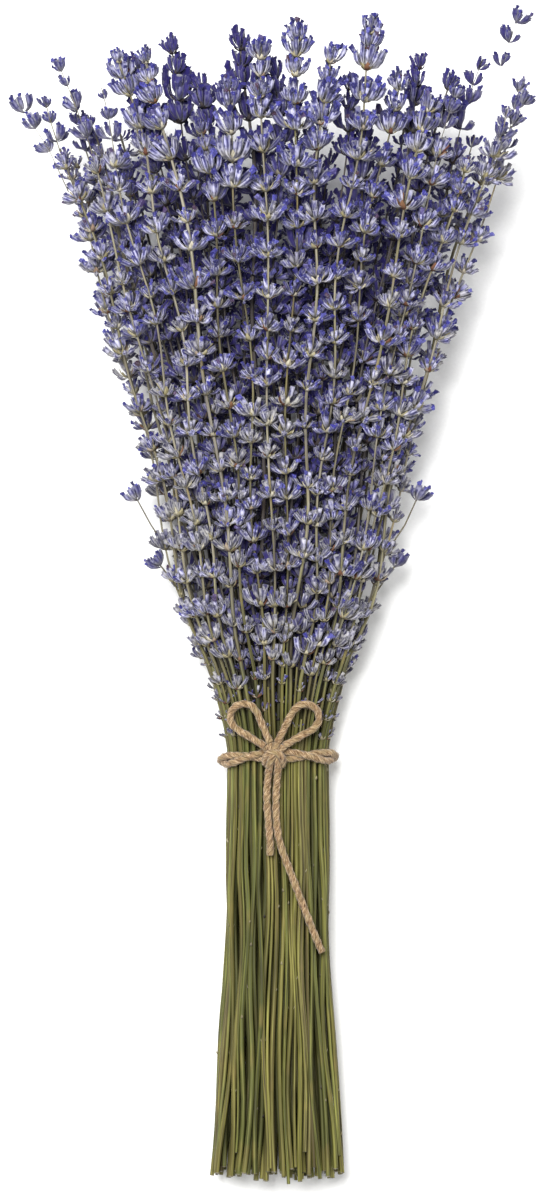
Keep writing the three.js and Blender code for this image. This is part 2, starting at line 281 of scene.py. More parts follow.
# %% Sweep three plies along a route
TWINE_RADIUS = 1.35
PLIES = 3
PLY_TURN = 10.0  # the length in which a ply goes once round the twine
PLY_DEPTH = 0.20  # of a groove between two plies, as a share of the radius
TWINE_SIDES = 20
TWINE_STEP = 0.55
STEPS_BETWEEN_KNOTS = 24
UNEVEN, UNEVEN_PLY = 0.05, 0.03  # how much thicker the twine and each ply grow in places


def smooth_path(points, step):
    """A smooth curve through the points, as points that lie that step apart."""
    points = np.array(points, float)
    before, after = 2 * points[0] - points[1], 2 * points[-1] - points[-2]
    knots = np.vstack([before, points, after])
    share = np.linspace(0, 1, STEPS_BETWEEN_KNOTS, endpoint=False)[:, None]
    pieces = [
        b
        + (c - a) * share / 2
        + (a - 2.5 * b + 2 * c - d / 2) * share**2
        + (1.5 * (b - c) + (d - a) / 2) * share**3
        for a, b, c, d in zip(knots, knots[1:], knots[2:], knots[3:])
    ]
    fine = np.vstack(pieces + [points[-1:]])
    along = distance_along(fine)
    even = np.linspace(0, along[-1], round(along[-1] / step) + 1)
    return np.column_stack([np.interp(even, along, fine[:, axis]) for axis in range(3)])


def distance_along(path):
    return np.r_[0, np.cumsum(np.linalg.norm(np.diff(path, axis=0), axis=1))]


def unit(vectors):
    return vectors / np.linalg.norm(vectors, axis=-1, keepdims=True)


def way(first, second, angle):
    """The direction at that angle from the first of two directions, towards the second."""
    return math.cos(angle) * first + math.sin(angle) * second


def axes_along(path):
    """Two directions square to the path at each point, which don't turn round it."""
    ahead = unit(np.gradient(path, axis=0))
    side = np.cross([0.0, 0.0, 1.0], ahead[0])
    sides = []
    for direction in ahead:
        side = side - direction * np.dot(side, direction)
        side = side / np.linalg.norm(side)
        sides.append(side)
    return np.array(sides), np.cross(ahead, sides), ahead


def strip_of_rings(rings, sides):
    """Faces round a closed tube, as the numbers of its points, with a cap at each end."""
    faces = []
    for ring in range(rings - 1):
        for side in range(sides):
            a, b = ring * sides + side, ring * sides + (side + 1) % sides
            faces.append((a, b, b + sides, a + sides))
    faces.append(tuple(reversed(range(sides))))
    faces.append(tuple(range((rings - 1) * sides, rings * sides)))
    return faces


def plies_along(path, turned):
    """The surface of three plies along a path: points, faces, ribs and places on the twine."""
    sides, ups, _ = axes_along(path)
    along = distance_along(path)[:, None]
    round_it = np.linspace(0, 2 * math.pi, TWINE_SIDES, endpoint=False)
    lay = round_it - turned - 2 * math.pi * along / PLY_TURN
    crest = np.abs(np.cos(lay * PLIES / 2))
    uneven = 1 + UNEVEN * np.sin(along * 0.9 + turned)
    uneven = uneven + UNEVEN_PLY * np.sin(lay * PLIES / 2 + along * 2.3)
    radius = TWINE_RADIUS * (1.02 - PLY_DEPTH * (1 - crest)) * uneven
    cos, sin = np.cos(round_it)[:, None], np.sin(round_it)[:, None]
    points = path[:, None] + (cos * sides[:, None] + sin * ups[:, None]) * radius[..., None]
    own = np.stack([radius * np.cos(lay), radius * np.sin(lay), along + 0 * radius], axis=-1)
    faces = strip_of_rings(len(path), TWINE_SIDES)
    return points.reshape(-1, 3), faces, crest.ravel(), own.reshape(-1, 3)


# %% Loose fibres
FIBRES_PER_MM = 5.0
FIBRE_THICK = 0.04
FIBRE_LENGTHS = (0.7, 2.1)
FIBRE_REACH = 3.2  # from the middle of the twine, at most
SPIKE = [  # the faces between a fibre's three points at its foot, three at its bend and its end
    (2, 1, 0), (0, 1, 4, 3), (3, 4, 6), (1, 2, 5, 4), (4, 5, 6), (2, 0, 3, 5), (5, 3, 6),
]
random_twine = np.random.default_rng(11)


def shifted(faces, by):
    """The same faces on points whose numbers are that much higher."""
    return [tuple(corner + by for corner in face) for face in faces]


def fibres_on(path):
    """Thin three-sided spikes that lean along the twine and bend away from it."""
    sides, ups, ahead = axes_along(path)
    points, faces = [], []
    for _ in range(round(distance_along(path)[-1] * FIBRES_PER_MM)):
        k = random_twine.integers(1, len(path) - 1)
        out = way(sides[k], ups[k], random_twine.uniform(0, 2 * math.pi))
        along = ahead[k] * random_twine.choice([-1, 1])
        beside = np.cross(out, along) * random_twine.uniform(-0.6, 0.6)
        reach = random_twine.uniform(*FIBRE_LENGTHS)
        foot = path[k] + out * TWINE_RADIUS * 0.8
        bend = foot + (along * 0.8 + out * 0.45 + beside) * reach * 0.6
        end = foot + (along * 1.1 + out * random_twine.uniform(0.5, 0.95) + beside * 1.9) * reach
        forward = along * np.dot(end - path[k], along)
        off = end - path[k] - forward
        faces += shifted(SPIKE, len(points))
        for spot, thick in ((foot, FIBRE_THICK), (bend, FIBRE_THICK * 0.7)):
            for corner in range(3):
                turn = 2 * math.pi * corner / 3
                points.append(spot + thick * way(out, np.cross(along, out), turn))
        points.append(path[k] + forward + off * min(1.0, FIBRE_REACH / np.linalg.norm(off)))
    return np.array(points), faces


# %% Turn points into pieces
def piece_of(name, points, faces, values, materials):
    """A piece from points in millimetres from the tie, with the values that its finish reads."""
    mesh = bpy.data.meshes.new(name)
    mesh.from_pydata(points * MM + tie, [], faces)
    for label, numbers in values.items():
        kind, field = ("FLOAT_VECTOR", "vector") if label == "own" else ("FLOAT", "value")
        layer = mesh.attributes.new(label, kind, "POINT")
        layer.data.foreach_set(field, np.asarray(numbers, dtype=np.float32).ravel())
    for material in materials:
        mesh.materials.append(material)
    mesh.polygons.foreach_set("use_smooth", [True] * len(faces))
    made = bpy.data.objects.new(name, mesh)
    bpy.context.scene.collection.objects.link(made)
    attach(made, "root")
    return made


def twine_piece(name, paths):
    """One piece of twine from one or more paths, with its fibres."""
    points, faces, ribs, own = [], [], [], []
    count = 0
    for number, path in enumerate(paths):
        surface, sides, crest, place = plies_along(path, turned=1.7 * number)
        hairs, hair_faces = fibres_on(path)
        points += [surface, hairs]
        faces += shifted(sides, count) + shifted(hair_faces, count + len(surface))
        count += len(surface) + len(hairs)
        ribs += [crest, np.ones(len(hairs))]
        own += [place + 31.0 * number, hairs]
    points = np.vstack(points)
    points[:, 2] = np.maximum(points[:, 2], 0.0)
    values = {"rib": np.concatenate(ribs), "own": np.vstack(own)}
    made = piece_of(name, points, faces, values, [JUTE])
    return made


# %% The free ends and the bow
LYING = 1.65  # how far the middle of a strand that lies on the stems is off them
FREE_TWINE = {
    "twine_loop_left": [
        (-4.7, 3.9, 3.4), (-7.3, 5.4, 2.6), (-9.8, 7.0, 1.9), (-12.4, 8.5), (-14.9, 10.0),
        (-16.9, 12.3), (-17.2, 15.4), (-15.6, 18.1), (-12.7, 19.3), (-9.7, 18.6), (-7.7, 16.3),
        (-6.5, 13.5), (-5.3, 10.8, 1.9), (-4.1, 8.0, 2.7), (-2.9, 5.2, 3.5),
    ],
    "twine_loop_right": [
        (-0.3, 5.2, 3.5), (1.1, 7.9, 2.7), (2.4, 10.6, 1.9), (3.8, 13.4), (5.4, 16.4),
        (7.6, 18.6), (10.6, 19.2), (13.4, 17.8), (14.8, 15.1), (14.4, 12.1), (12.4, 9.8),
        (9.7, 8.4), (7.1, 6.9, 1.9), (4.5, 5.4, 2.6), (2.2, 4.1, 3.4),
    ],
    "twine_tail_long": [
        (0.0, -4.0, 2.9), (-0.2, -7.0, 1.9), (-0.5, -11.0), (-0.7, -15.2), (-0.7, -19.4),
        (-0.5, -23.6), (0.0, -28.0), (1.1, -32.6), (2.7, -37.2), (4.5, -41.8), (6.3, -46.6),
        (8.1, -51.4), (10.0, -56.2), (11.9, -61.2), (13.9, -66.2), (16.0, -71.2),
    ],
    "twine_tail_short": [
        (-3.2, -4.0, 2.9), (-3.4, -6.2, 1.9), (-3.7, -8.6), (-3.9, -11.0), (-4.0, -13.4),
        (-4.0, -15.8), (-3.9, -18.2), (-3.7, -20.6), (-3.5, -23.0), (-3.3, -25.4),
        (-3.1, -27.8), (-2.9, -30.0), (-2.8, -32.0), (-2.8, -34.0), (-2.8, -35.8),
    ],
}


def over_stems(route):
    """The route's points in space. A point without a third number lies on the stems."""
    return [(x, y, height_over(x, y, *(off or [LYING]))) for x, y, *off in route]


for name, route in FREE_TWINE.items():
    path = smooth_path(over_stems(route), TWINE_STEP)
    piece = twine_piece(name.replace("twine", "jute"), [path])
    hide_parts(name)


# %% [markdown]
# ## The turns round the stems and the knot
# Two turns hold the bunch, and they twist round each other on their way, so that they cross two
# or three times on each side of the knot. Two flat rings would be easier, but they would lie side
# by side like wire. Under the bunch they lie flat on the table. The knot joins the two turns, the
# four legs of the bow and the two tails, so its strands begin and end where those do.

# %% Two turns that twist
WRAP_OFF_STEMS = 2.5  # from the ring of stems to the middle between the two turns
WRAP_SPREAD = 1.5  # how far a turn lies to each side of that, along the stems
WRAP_LIFT = 0.8  # and how far it rises over the other turn
TWISTS = 0.9  # on each side, from the knot to beyond the edge of the bunch
TWISTS_END = 0.62  # of the way from the knot to the table
LIFT_FADES = 0.45  # from there on, until the turns lie flat on the table
TURN_POINTS = 72
SAG_LEFT, SAG_RIGHT = 2.4, 0.9  # how far the turns slip towards the cut ends at the edges


def turn_path(strand):
    """One turn of twine, from under the knot, round the bunch and back to it."""
    middle = TIE.lift + TIE.depth
    points = []
    for angle in np.linspace(0, 2 * math.pi, TURN_POINTS):
        away = min(angle, 2 * math.pi - angle) / math.pi
        fade = min(1.0, away / TWISTS_END)
        twist = math.pi * strand + 2 * math.pi * TWISTS * fade
        flat = max(0.0, math.cos(math.pi * min(1.0, max(0.0, away - LIFT_FADES) * 2.2)))
        across, up = math.sin(angle), math.cos(angle)
        lift = WRAP_LIFT * math.sin(twist) * flat
        width = TIE.width + WRAP_OFF_STEMS + lift
        depth = TIE.depth + WRAP_OFF_STEMS + lift if up > 0 else middle - TWINE_RADIUS
        sag = 0.5 - across**2 * (SAG_LEFT if across < 0 else SAG_RIGHT)
        points.append((width * across, WRAP_SPREAD * math.cos(twist) + sag, middle + depth * up))
    return smooth_path(points, TWINE_STEP)


KNOT_STRANDS = [
    [(-2.9, 5.2, 3.5), (-2.2, 2.6, 3.6), (-1.2, 0.2, 3.9), (-0.3, -2.0, 3.6), (0.0, -4.0, 2.9)],
    [(-0.3, 5.2, 3.5), (-1.0, 2.8, 4.2), (-1.9, 0.4, 5.2), (-2.8, -2.0, 4.2), (-3.2, -4.0, 2.9)],
    [(-4.7, 3.9, 3.4), (-3.4, 2.8, 3.2), (-2.0, 1.6, 2.8), (-1.0, 0.6, 2.2)],
    [(2.2, 4.1, 3.4), (1.0, 2.6, 3.2), (0.0, 1.2, 2.8), (-0.8, 0.2, 2.2)],
    [
        (-4.6, -2.8, 1.4), (-4.6, -1.0, 3.0), (-3.8, 0.8, 4.3), (-1.9, 1.7, 5.4), (0.2, 1.2, 5.2),
        (1.5, -0.4, 4.1), (1.8, -2.0, 2.7), (1.5, -3.1, 1.4),
    ],
]
knot_paths = [smooth_path(over_stems(strand), TWINE_STEP) for strand in KNOT_STRANDS]
wrap = twine_piece("jute_wrap_and_knot", [turn_path(0), turn_path(1)] + knot_paths)
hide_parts("twine_wrap")
print(wrap.name, "has", len(wrap.data.polygons), "faces")

# %% [markdown]
# ## The florets
# What is left of a lavender flower when it is dry is its calyx: a ribbed tube 5 to 6 mm long on
# a short pale stalk, slate violet at its mouth and hairy enough to look dusty. Some still hold the
# crumpled blue-violet petals. Each form is modelled once, standing up along +Z in millimetres, and
# then copied thousands of times, so none has more than 33 faces. A tube with a pattern painted
# on it would be cheaper, but the ribs and the notched mouth have to catch the light.

# %% Helpers for modelling a form of rings
Shape = namedtuple("Shape", "points faces tips ribs")
NEAR = 1e-4


def select(form, wanted):
    """In edit mode, selects the points of a mesh that are wanted, and what lies between them."""
    mesh = bmesh.from_edit_mesh(form.data)
    for point in mesh.verts:
        point.select = bool(wanted(point.co))
    mesh.select_flush_mode()
    bmesh.update_edit_mesh(form.data)


def select_level(form, level):
    select(form, lambda place: abs(place.z - level) < NEAR)


def cut_at(levels):
    """Cuts rings of points into the form at those heights."""
    for level in levels:
        bpy.ops.mesh.select_all(action="SELECT")
        bpy.ops.mesh.bisect(plane_co=(0, 0, level), plane_no=(0, 0, 1))


def side_of(place, sides):
    """Which of a ring's points a place belongs to."""
    return round(math.atan2(place.y, place.x) / (2 * math.pi) * sides) % sides


def ringed(sides, rings):
    """A closed tube that stands on z = 0, with a height and a radius for each of its rings."""
    bpy.ops.object.select_all(action="DESELECT")
    height = rings[-1][0]
    middle = (0, 0, height / 2)
    bpy.ops.mesh.primitive_cylinder_add(vertices=sides, radius=1, depth=height, location=middle)
    form = bpy.context.object
    bpy.ops.object.transform_apply(location=True)
    bpy.ops.object.mode_set(mode="EDIT")
    bpy.ops.mesh.select_mode(type="VERT")
    cut_at([level for level, _ in rings[1:-1]])
    for level, radius in rings:
        select_level(form, level)
        bpy.ops.transform.resize(value=(radius, radius, 1))
    return form


def notch(form, sides, share, above=0.0):
    """Draws every second line of points in towards the middle, which leaves ribs between them."""
    select(form, lambda place: place.z > above and side_of(place, sides) % 2 == 1)
    bpy.ops.transform.resize(value=(share, share, 1))


def hollow(form, top, deep):
    """Sinks the middle of the top face, so that the tube has a mouth."""
    select_level(form, top)
    bpy.ops.mesh.poke()
    select(form, lambda place: math.hypot(place.x, place.y) < 0.02 and place.z > top - 0.01)
    bpy.ops.transform.translate(value=(0, 0, -deep))


def taken(form, sides, ribs=True):
    """Leaves edit mode, reads the form into arrays and removes the object."""
    bpy.ops.object.mode_set(mode="OBJECT")
    places = np.array([tuple(point.co) for point in form.data.vertices])
    faces = [tuple(face.vertices) for face in form.data.polygons]
    bpy.data.objects.remove(form)
    even = [1.0 - side_of(Vector(place), sides) % 2 for place in places]
    tips = places[:, 2] / places[:, 2].max()
    return Shape(places, faces, tips, np.array(even) if ribs else np.ones(len(places)))


# %% The calyx, fine and plain
CALYX_SIDES = 8
CALYX_RINGS = [(0, 0.34), (1.5, 0.62), (3.4, 0.98), (6.0, 0.90)]
CALYX_LENGTH = CALYX_RINGS[-1][0]
PLAIN_SIDES = 6
PLAIN_RINGS = [(0, 0.36), (2.6, 0.85), (6.0, 0.92)]


def is_tooth(place):
    """Whether a point of the rim, and not of the hollow in it, ends a rib."""
    on_rim = place.z > CALYX_LENGTH - 0.1 and math.hypot(place.x, place.y) > 0.3
    return on_rim and side_of(place, CALYX_SIDES) % 2 == 0


def model_calyx():
    form = ringed(CALYX_SIDES, CALYX_RINGS)
    notch(form, CALYX_SIDES, 0.78, above=1.0)
    hollow(form, CALYX_LENGTH, 1.4)
    select(form, is_tooth)
    bpy.ops.transform.translate(value=(0, 0, 0.6))
    bpy.ops.transform.resize(value=(1.16, 1.16, 1))
    return taken(form, CALYX_SIDES)


def model_plain_calyx():
    form = ringed(PLAIN_SIDES, PLAIN_RINGS)
    hollow(form, PLAIN_RINGS[-1][0], 1.0)
    return taken(form, PLAIN_SIDES)


CALYX = model_calyx()
PLAIN_CALYX = model_plain_calyx()
print("calyx:", len(CALYX.faces), "faces, plain:", len(PLAIN_CALYX.faces))

# %% The dried petals, a few crumpled forms
PETAL_SIDES = 6
PETAL_RINGS = [(0, 0.60), (2.5, 1.35)]
CRUMPLES = 4


def model_petals(number):
    """Petals that stand in a calyx's mouth: a flared tube with a wavy rim, crumpled at random."""
    form = ringed(PETAL_SIDES, PETAL_RINGS)
    hollow(form, PETAL_RINGS[-1][0], 1.2)
    select(form, lambda place: place.z > 2.0 and side_of(place, PETAL_SIDES) % 2 == 0)
    bpy.ops.transform.translate(value=(0, 0, 0.8))
    bpy.ops.transform.resize(value=(0.72, 0.72, 1))
    bpy.ops.mesh.select_all(action="SELECT")
    bpy.ops.transform.vertex_random(offset=0.5, uniform=0.2, normal=0.0, seed=number + 3)
    return taken(form, PETAL_SIDES)


PETALS = [model_petals(number) for number in range(CRUMPLES)]
print("petals:", len(PETALS), "forms of", len(PETALS[0].faces), "faces")


# %% The bract under a whorl, and a bare stalk
BRACT_SECTIONS = [  # height, width, thickness and how far it bends out
    (0, 0.35, 1, 0),
    (1.1, 0.95, 0.9, 0.25),
    (2.3, 0.7, 0.8, 0.3),
    (3.4, 0.12, 0.5, -0.1),
]


def model_bract():
    """A pointed scale, wide near its foot and thin all over."""
    half = BRACT_SECTIONS[-1][0] / 2
    bpy.ops.object.select_all(action="DESELECT")
    bpy.ops.mesh.primitive_cube_add(size=2)
    form = bpy.context.object
    bpy.ops.transform.resize(value=(1, 0.16, half))
    bpy.ops.transform.translate(value=(0, 0, half))
    bpy.ops.object.transform_apply(location=True, scale=True)
    bpy.ops.object.mode_set(mode="EDIT")
    bpy.ops.mesh.select_mode(type="VERT")
    cut_at([section[0] for section in BRACT_SECTIONS[1:-1]])
    for level, wide, thick, out in BRACT_SECTIONS:
        select_level(form, level)
        bpy.ops.transform.resize(value=(wide, thick, 1))
        bpy.ops.transform.translate(value=(0, out, 0))
    return taken(form, 4, ribs=False)


BRACT = model_bract()
STALK = taken(ringed(3, [(0, 0.24), (3.0, 0.20), (5.0, 0.26)]), 3)
print("bract:", len(BRACT.faces), "faces, stalk:", len(STALK.faces))

# %% [markdown]
# ## The stem
# A lavender stem is square with rounded corners and full of pith, with a pair of leaf scars every
# few centimetres. One straight stem is modelled with enough rings to bend, and each copy is laid
# along its own path, as a Curve modifier would do it.

# %% Model a stem of one unit's length
STEM_SIDES = 8
STEM_RINGS = 44
THIN_STEM_SIDES = 6
THIN_STEM_RINGS = 26
CUT_FACE = 0.002  # the first ring after the cut end, which is paler


def model_stem(sides, count):
    heights = [0, CUT_FACE] + [k / (count - 1) for k in range(1, count)]
    form = ringed(sides, [(height, 1.0) for height in heights])
    if sides == STEM_SIDES:
        notch(form, sides, 0.88, above=-1)
    return taken(form, sides)


STEM = model_stem(STEM_SIDES, STEM_RINGS)
THIN_STEM = model_stem(THIN_STEM_SIDES, THIN_STEM_RINGS)
print("stem:", len(STEM.faces), "faces, thin stem:", len(THIN_STEM.faces))


# %% Finishes of stems and florets
def stem_finish():
    made = Recipe("dried stem", 0.6)
    own, tone, tip = (made.carried(name) for name in ("own", "tone", "tip"))
    green = made.ramp(
        tone,
        (0.00, (52, 58, 20)), (0.16, (84, 88, 40)), (0.32, (106, 101, 42)), (0.46, (86, 73, 46)),
        (0.60, (70, 78, 28)), (0.74, (104, 108, 62)), (0.88, (94, 82, 52)), (1.00, (124, 118, 60)),
    )
    straw = made.ramp(
        tone,
        (0.0, (104, 97, 80)), (0.3, (148, 141, 128)), (0.6, (162, 155, 146)), (1.0, (100, 93, 72)),
    )
    colour = made.mix(made.sharpen(tip, 0.40, 0.56), green, straw)
    streaks = made.noise(own, 2.2, 3.0, stretch=(1.0, 1.0, 0.03))
    colour = made.tint(colour, made.sharpen(streaks, 0.62, 0.38), 0.6, (50, 42, 20))
    blotches = made.noise(own, 0.06, 2.0)
    colour = made.tint(colour, made.sharpen(blotches, 0.56, 0.72), 0.45, (140, 116, 66))
    lines = made.noise(own, 5.0, 2.0, stretch=(1.0, 1.0, 0.012))
    colour = made.tint(colour, made.sharpen(lines, 0.44, 0.34), 0.55, (38, 30, 26))
    # A painted highlight: pale lines along the ridges of the stem.
    ridge = made.times(made.carried("rib"), made.sharpen(lines, 0.42, 0.66))
    colour = made.tint(colour, made.times(ridge, 0.8), 0.6, (184, 183, 92))
    # The colour of the painted shade deep in the bunch: greenish among the stems and dark violet
    # among the flowers.
    dark = made.mix(made.sharpen(tip, 0.38, 0.46), (54, 54, 24), (26, 17, 40))
    return made.finish(made.shade(colour, dark, 0.78), streaks, 0.12)


def calyx_finish():
    """Blue at the mouth and pale at the foot; with more `tone`, greyer, as dust makes them."""
    made = Recipe("calyx", 0.72, sheen=0.3)
    own, tone, tip, rib = (made.carried(name) for name in ("own", "tone", "tip", "rib"))
    cool = made.ramp(
        tip,
        (0.04, (186, 178, 152)), (0.28, (178, 174, 168)), (0.52, (94, 94, 148)),
        (0.76, (46, 45, 134)), (1.00, (32, 30, 114)),
    )
    grey = made.ramp(
        tip,
        (0.04, (172, 165, 144)), (0.32, (138, 134, 126)), (0.62, (76, 76, 90)), (1.00, (40, 38, 66)),
    )
    dusty = made.sharpen(tone, 0.35, 0.75)
    colour = made.mix(dusty, cool, grey)
    speckle = made.noise(own, 1.6, 3.0, stretch=(1, 1, 0.35))
    # The ribs are pale, partly for their own hairs and partly as a painted highlight on their
    # ridges.
    ridge = made.times(rib, made.sharpen(speckle, 0.30, 0.55))
    pale = made.mix(dusty, (222, 220, 240), (186, 183, 184))
    colour = made.mix(made.times(ridge, 0.64), colour, pale)
    # Painted shade in the grooves between the ribs.
    furrow = made.sharpen(rib, 0.6, 0.0)
    colour = made.tint(colour, made.times(furrow, 0.85), 0.85, (22, 19, 52))
    colour = made.tint(colour, made.sharpen(speckle, 0.48, 0.32), 0.6, (32, 28, 64))
    # Uneven patches across the bunch: the pale ones are a painted highlight, the dark ones a painted
    # shade.
    patches = made.noise(made.place(), 280.0)
    painted_highlight = made.mix(dusty, (200, 199, 222), (184, 181, 176))
    colour = made.mix(made.times(made.sharpen(patches, 0.57, 0.68), 0.6), colour, painted_highlight)
    colour = made.mix(made.times(made.sharpen(patches, 0.44, 0.34), 0.7), colour, (18, 14, 54))
    colour = made.tint(colour, made.sharpen(tone, 0.32, 0.06), 0.68, (24, 20, 70))
    # Painted shade, darker towards the middle of the bunch.
    return made.finish(made.shade(colour, (28, 17, 88), 0.94), speckle, 0.15)


def petal_finish():
    made = Recipe("dried petals", 0.6, sheen=0.2)
    hue = made.ramp(
        made.carried("tone"),
        (0.00, (26, 24, 78)), (0.35, (38, 36, 112)), (0.65, (58, 57, 146)), (0.90, (96, 96, 164)),
        (0.96, (74, 52, 78)), (1.00, (72, 46, 54)),
    )
    creases = made.noise(made.carried("own"), 1.4, 3.0)
    # Painted shade in the creases of the crumpled petals, and a painted highlight between them.
    colour = made.tint(hue, made.sharpen(creases, 0.52, 0.32), 0.75, (18, 14, 56))
    colour = made.mix(made.sharpen(creases, 0.58, 0.74), colour, (142, 142, 186))
    # Painted shade, darker towards the middle of the bunch.
    return made.finish(made.shade(colour, (26, 16, 86), 0.94), creases, 0.3)


def bract_finish():
    made = Recipe("bract", 0.85)
    hue = made.ramp(
        made.carried("tone"),
        (0.0, (140, 132, 98)), (0.4, (168, 160, 130)), (0.72, (190, 184, 166)),
        (0.86, (124, 88, 66)), (1.0, (92, 46, 40)),
    )
    veins = made.noise(made.carried("own"), 1.8, 3.0, stretch=(1.6, 1, 0.25))
    colour = made.tint(hue, made.sharpen(veins, 0.55, 0.35), 0.5, (76, 60, 26))
    # Painted shade, darker towards the middle of the bunch.
    return made.finish(made.shade(colour, (28, 18, 34), 0.92), veins, 0.1)


FINISHES = [stem_finish(), calyx_finish(), petal_finish(), bract_finish()]
OF_STEM, OF_CALYX, OF_PETALS, OF_BRACT = range(len(FINISHES))
print("finishes:", [finish.name for finish in FINISHES])


# %% [markdown]
# ## Where the sprigs stand
# The frame holds ninety-two sprigs: three rings and a middle row at the tie, from which they fan
# out. The same few rules are worked out again here, so that every sprig follows its solid. Between
# the stations the paths are smooth, and each sprig wanders a little on its way.

# %% Places at the tie and paths
RING_STEP = 2.5
RINGS = [  # from outside in: where their whorls begin in the solids, how far below the tip these
    # reach at most, and how much lower than the tallest the tips are
    {"count": 34, "start": (23, 78), "reach": 240, "lower": 20},
    {"count": 28, "start": (34, 84), "reach": 70, "lower": 26},
    {"count": 22, "start": (50, 90), "reach": 30, "lower": 34},
    {"start": (60, 100), "reach": 30, "lower": 34},
]
MIDDLE_ROW = {"count": 8, "reach": 9.3}
GOLDEN = 0.618034
TALLEST = 265
TIPS_SPREAD = 50
TIPS_HIGHER = 10  # than in the solids, where the florets of a tip stand over its end
TOP_TIPS = [  # the tips that draw the top of the fan: how far across and how far up
    (-84, 222), (-82, 251), (-66, 241), (-52, 251), (-36, 257), (-26, 244), (-13, 258), (-4, 253),
    (8, 259), (27, 244), (35, 262), (50, 252), (65, 241), (77, 253), (90, 246),
]
UPPER_HALF = -0.1  # the height from the tie's middle at which its upper half begins
LOOSE_BEYOND = 60  # across the fan, where the highest spikes have few florets
LOOSE_ABOVE = 216
DRAWS = {"across": 0, "up": 20, "tip": 383, "cut": 42, "turn": 43}
CUT_ENDS_SPREAD = 5
WANDER = 0.9
WANDER_GROWS_OVER = 45  # from the tie, which holds the stems
WANDER_IN_FAN = 1.6  # times as far as among the cut ends
LOWEST_MIDDLE = 1.1  # of a stem, above the table
ARC_DIVISIONS = 200


def draw(a, b):
    """A number from 0 to 1 that is always the same for the same two numbers."""
    large = math.sin(a * 12.9898 + b * 78.233) * 43758.5453
    return large - math.floor(large)


def between(low, high, share):
    return low + (high - low) * share


def limited(value):
    return min(1.0, max(0.0, value))


def even_on_ellipse(width, depth, count):
    """Points an equal way apart round an ellipse."""
    angles = np.linspace(0, 2 * math.pi, ARC_DIVISIONS + 1)
    along = distance_along(np.column_stack([width * np.cos(angles), depth * np.sin(angles)]))
    even = np.interp(np.arange(count) / count * along[-1], along, angles)
    return [(width * math.cos(angle), depth * math.sin(angle)) for angle in even]


def places_at_tie():
    places = []
    for level, ring in enumerate(RINGS[:3]):
        width, depth = TIE.width - level * RING_STEP, TIE.depth - level * RING_STEP
        places += [(level, x, z) for x, z in even_on_ellipse(width, depth, ring["count"])]
    for k in range(MIDDLE_ROW["count"]):
        x = between(-MIDDLE_ROW["reach"], MIDDLE_ROW["reach"], k / (MIDDLE_ROW["count"] - 1))
        places.append((3, x, 0.0))
    return places


def place_in(station, across, up):
    lowered = up * (1 + station.flat * across * across) if up < 0 else up
    return across * station.width, station.lift + station.depth * (1 + lowered)


def path_of(index, x, z):
    """The sprig's middle at each station: how far across and how high."""
    knots = []
    for k, station in enumerate(STATIONS):
        across, height = place_in(station, x / TIE.width, z / TIE.depth)
        across += station.stray * (2 * draw(index, DRAWS["across"] + k) - 1)
        height += station.stray * (2 * draw(index, DRAWS["up"] + k) - 1)
        knots.append((across, height))
    return np.array(knots)


def calm_slopes(knots):
    """The path's slope at each station, level where it turns, so that it never overshoots."""
    steps = np.diff(STATION_Y)[:, None]
    rises = np.diff(knots, axis=0) / steps
    slopes = np.zeros_like(knots)
    slopes[0], slopes[-1] = rises[0], rises[-1]
    before, after = rises[:-1], rises[1:]
    first, second = 2 * steps[1:] + steps[:-1], steps[1:] + 2 * steps[:-1]
    with np.errstate(divide="ignore", invalid="ignore"):
        joined = (first + second) / (first / before + second / after)
    slopes[1:-1] = np.where(before * after > 0, joined, 0.0)
    return slopes


class Sprig:
    """One sprig: its path, where its spike starts and ends, and how closely it is modelled."""

    def __init__(self, index, level, x, z):
        self.index, self.level, self.z = index, level, z
        self.across = x / TIE.width
        self.knots = path_of(index, x, z)
        self.slopes = calm_slopes(self.knots)
        self.waves = [draw(index, number) for number in (50, 51, 52, 53)]
        ring = RINGS[level]
        self.end = TALLEST - ring["lower"] - TIPS_SPREAD * draw(index, DRAWS["tip"])
        self.start = between(*ring["start"], (index * GOLDEN) % 1)
        self.cut = STATIONS[0].y + CUT_ENDS_SPREAD * draw(index, DRAWS["cut"])
        self.fine = z / TIE.depth > {0: -0.35, 1: 0.25}.get(level, 2.0)
        self.seen = self.fine or z > 0
        self.loose = False
        self.tone = draw(index, 54)

    def at(self, y):
        """The sprig's middle at one or more places along the bunch."""
        y = np.atleast_1d(np.asarray(y, float))
        k = np.clip(np.searchsorted(STATION_Y, y, side="right") - 1, 0, len(STATION_Y) - 2)
        step = (STATION_Y[k + 1] - STATION_Y[k])[:, None]
        t = ((y - STATION_Y[k]) / (STATION_Y[k + 1] - STATION_Y[k]))[:, None]
        low, high = self.knots[k], self.knots[k + 1]
        leave, arrive = self.slopes[k] * step, self.slopes[k + 1] * step
        middle = (2 * t**3 - 3 * t**2 + 1) * low + (t**3 - 2 * t**2 + t) * leave
        middle = middle + (3 * t**2 - 2 * t**3) * high + (t**3 - t**2) * arrive
        free = WANDER * np.clip(np.abs(y) / WANDER_GROWS_OVER, 0, 1) ** 2
        free = free * np.where(y < 0, 1.0, WANDER_IN_FAN)
        sway = np.sin(2 * math.pi * (y / between(70, 120, self.waves[0]) + self.waves[1]))
        rise = np.sin(2 * math.pi * (y / between(60, 110, self.waves[2]) + self.waves[3]))
        across = middle[:, 0] + free * sway
        height = np.maximum(middle[:, 1] + free * rise, LOWEST_MIDDLE)
        return np.column_stack([across, y, height])

    def ahead(self, y):
        return unit(self.at(y + 1.0) - self.at(y - 1.0))[0]


